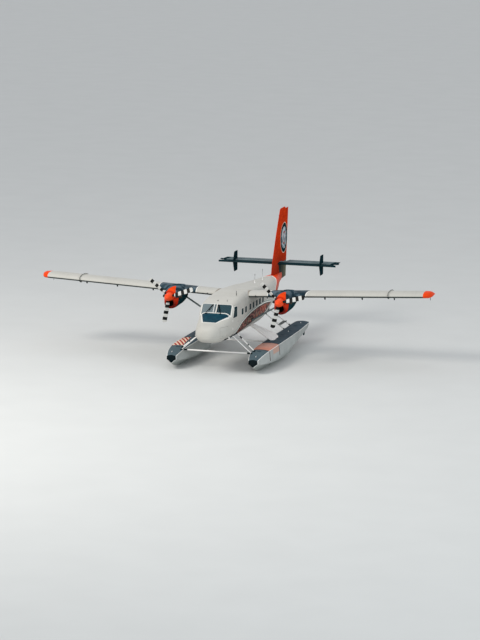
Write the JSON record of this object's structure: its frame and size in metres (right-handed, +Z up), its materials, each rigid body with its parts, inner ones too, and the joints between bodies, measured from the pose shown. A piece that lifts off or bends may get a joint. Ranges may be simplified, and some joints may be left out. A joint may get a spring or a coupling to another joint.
{
  "type": "twin-engine floatplane",
  "caption": "High-wing, strut-braced commuter aircraft with two turboprop engines, standing on two long straight floats, with doors, flaps, tail and water rudders that move.",
  "frame": {"origin": "on the floor under the middle of the aircraft's overall box; the floats' keels stand on z = 0", "axes": "+X to port along the span, +Y aft towards the tail, +Z up"},
  "size_m": [19.81, 15.09, 6.3],
  "materials": {
    "white_paint": "gloss",
    "slate_paint": "satin",
    "orange_paint": "gloss",
    "dark_paint": "satin",
    "deck_paint": "matte",
    "bare_aluminium": "satin",
    "engine_metal": "satin",
    "clear_glass": "gloss",
    "bumper_rubber": "matte",
    "seat_cloth": "matte",
    "cabin_plastic": "matte"
  },
  "bodies": {
    "airframe": {"wing_port": "white_paint", "wing_starboard": "white_paint", "wing_centre": "white_paint", "nose_shell": "white_paint", "cockpit_shell": "white_paint", "windscreen": "clear_glass", "cabin_shell": "white_paint", "tail_cone": "white_paint", "cabin_glazing_port": "clear_glass", "cabin_glazing_starboard": "clear_glass", "floor": "deck_paint", "instrument_panel": "cabin_plastic", "pilot_seat_port": "seat_cloth", "pilot_seat_starboard": "seat_cloth", "passenger_seats_port": "seat_cloth", "passenger_seats_starboard": "seat_cloth", "nacelle_port": "slate_paint", "nacelle_starboard": "slate_paint", "engine_port": "engine_metal", "engine_starboard": "engine_metal", "wing_strut_port": "white_paint", "wing_strut_starboard": "white_paint", "fin": "orange_paint", "tailplane": "slate_paint", "finlet_port": "dark_paint", "finlet_starboard": "dark_paint", "float_port": "deck_paint", "float_starboard": "deck_paint", "bow_bumper_port": "bumper_rubber", "bow_bumper_starboard": "bumper_rubber", "front_strut_port": "white_paint", "front_strut_starboard": "white_paint", "main_strut_port": "white_paint", "main_strut_starboard": "white_paint", "rear_strut_port": "white_paint", "rear_strut_starboard": "white_paint", "front_spreader": "white_paint", "rear_spreader": "white_paint"},
    "propeller_port": {"propeller_port": "orange_paint"},
    "propeller_starboard": {"propeller_starboard": "orange_paint"},
    "flap_port": {"flap_port": "white_paint"},
    "flap_starboard": {"flap_starboard": "white_paint"},
    "aileron_port": {"aileron_port": "white_paint"},
    "aileron_starboard": {"aileron_starboard": "white_paint"},
    "elevator_port": {"elevator_port": "slate_paint"},
    "elevator_starboard": {"elevator_starboard": "slate_paint"},
    "rudder": {"rudder": "orange_paint"},
    "water_rudder_port": {"water_rudder_port": "bare_aluminium"},
    "water_rudder_starboard": {"water_rudder_starboard": "bare_aluminium"},
    "crew_door_port": {"crew_door_port": "white_paint"},
    "crew_door_starboard": {"crew_door_starboard": "white_paint"},
    "cabin_door_port": {"cabin_door_port": "white_paint"},
    "cabin_door_starboard": {"cabin_door_starboard": "white_paint"},
    "nose_baggage_door": {"nose_baggage_door": "white_paint"}
  },
  "joints": [
    {"name": "propeller_port_spin", "type": "hinge", "parent": "airframe", "child": "propeller_port", "pos_m": [2.78, -4.395, 3.2], "axis": [0, -1, 0], "continuous": true},
    {"name": "propeller_starboard_spin", "type": "hinge", "parent": "airframe", "child": "propeller_starboard", "pos_m": [-2.78, -4.395, 3.2], "axis": [0, -1, 0], "continuous": true},
    {"name": "flap_port_hinge", "type": "hinge", "parent": "airframe", "child": "flap_port", "pos_m": [3, -1.625, 3.1418], "axis": [0.9988, 0, 0.0488], "range_deg": [-37.5, 0]},
    {"name": "flap_starboard_hinge", "type": "hinge", "parent": "airframe", "child": "flap_starboard", "pos_m": [-3, -1.625, 3.1418], "axis": [0.9988, 0, -0.0488], "range_deg": [-37.5, 0]},
    {"name": "aileron_port_hinge", "type": "hinge", "parent": "airframe", "child": "aileron_port", "pos_m": [7, -1.625, 3.4874], "axis": [0.9988, 0, 0.0488], "range_deg": [-20, 20]},
    {"name": "aileron_starboard_hinge", "type": "hinge", "parent": "airframe", "child": "aileron_starboard", "pos_m": [-7, -1.625, 3.4874], "axis": [0.9988, 0, -0.0488], "range_deg": [-20, 20]},
    {"name": "elevator_port_hinge", "type": "hinge", "parent": "airframe", "child": "elevator_port", "pos_m": [1.5, 6.125, 3.524], "axis": [1, 0, 0], "range_deg": [-14, 26]},
    {"name": "elevator_starboard_hinge", "type": "hinge", "parent": "airframe", "child": "elevator_starboard", "pos_m": [-1.5, 6.125, 3.524], "axis": [1, 0, 0], "range_deg": [-14, 26]},
    {"name": "rudder_hinge", "type": "hinge", "parent": "airframe", "child": "rudder", "pos_m": [0, 6.255, 2.63], "axis": [0, 0.1738, 0.9848], "range_deg": [-18, 18]},
    {"name": "water_rudder_port_steer", "type": "hinge", "parent": "airframe", "child": "water_rudder_port", "pos_m": [2.04, 3.025, 0.75], "axis": [0, 0, 1], "range_deg": [-30, 30]},
    {"name": "water_rudder_starboard_steer", "type": "hinge", "parent": "airframe", "child": "water_rudder_starboard", "pos_m": [-2.04, 3.025, 0.75], "axis": [0, 0, 1], "range_deg": [-30, 30]},
    {"name": "crew_door_port_hinge", "type": "hinge", "parent": "airframe", "child": "crew_door_port", "pos_m": [0.852, -5.705, 2.4], "axis": [0, 0, -1], "range_deg": [0, 80]},
    {"name": "crew_door_starboard_hinge", "type": "hinge", "parent": "airframe", "child": "crew_door_starboard", "pos_m": [-0.852, -5.705, 2.4], "axis": [0, 0, 1], "range_deg": [0, 80]},
    {"name": "cabin_door_port_hinge", "type": "hinge", "parent": "airframe", "child": "cabin_door_port", "pos_m": [0.872, 0.145, 2.4], "axis": [0, 0, -1], "range_deg": [0, 100]},
    {"name": "cabin_door_starboard_hinge", "type": "hinge", "parent": "airframe", "child": "cabin_door_starboard", "pos_m": [-0.872, 0.145, 2.4], "axis": [0, 0, 1], "range_deg": [0, 100]},
    {"name": "nose_baggage_door_hinge", "type": "hinge", "parent": "airframe", "child": "nose_baggage_door", "pos_m": [0.683, -6.664, 2.288], "axis": [-0.342, -0.9397, 0], "range_deg": [0, 80]}
  ],
  "couplings": [
    {"joint": "flap_starboard_hinge", "follows": "flap_port_hinge", "ratio": 1},
    {"joint": "aileron_starboard_hinge", "follows": "aileron_port_hinge", "ratio": -1},
    {"joint": "elevator_starboard_hinge", "follows": "elevator_port_hinge", "ratio": 1},
    {"joint": "water_rudder_starboard_steer", "follows": "water_rudder_port_steer", "ratio": 1}
  ]
}
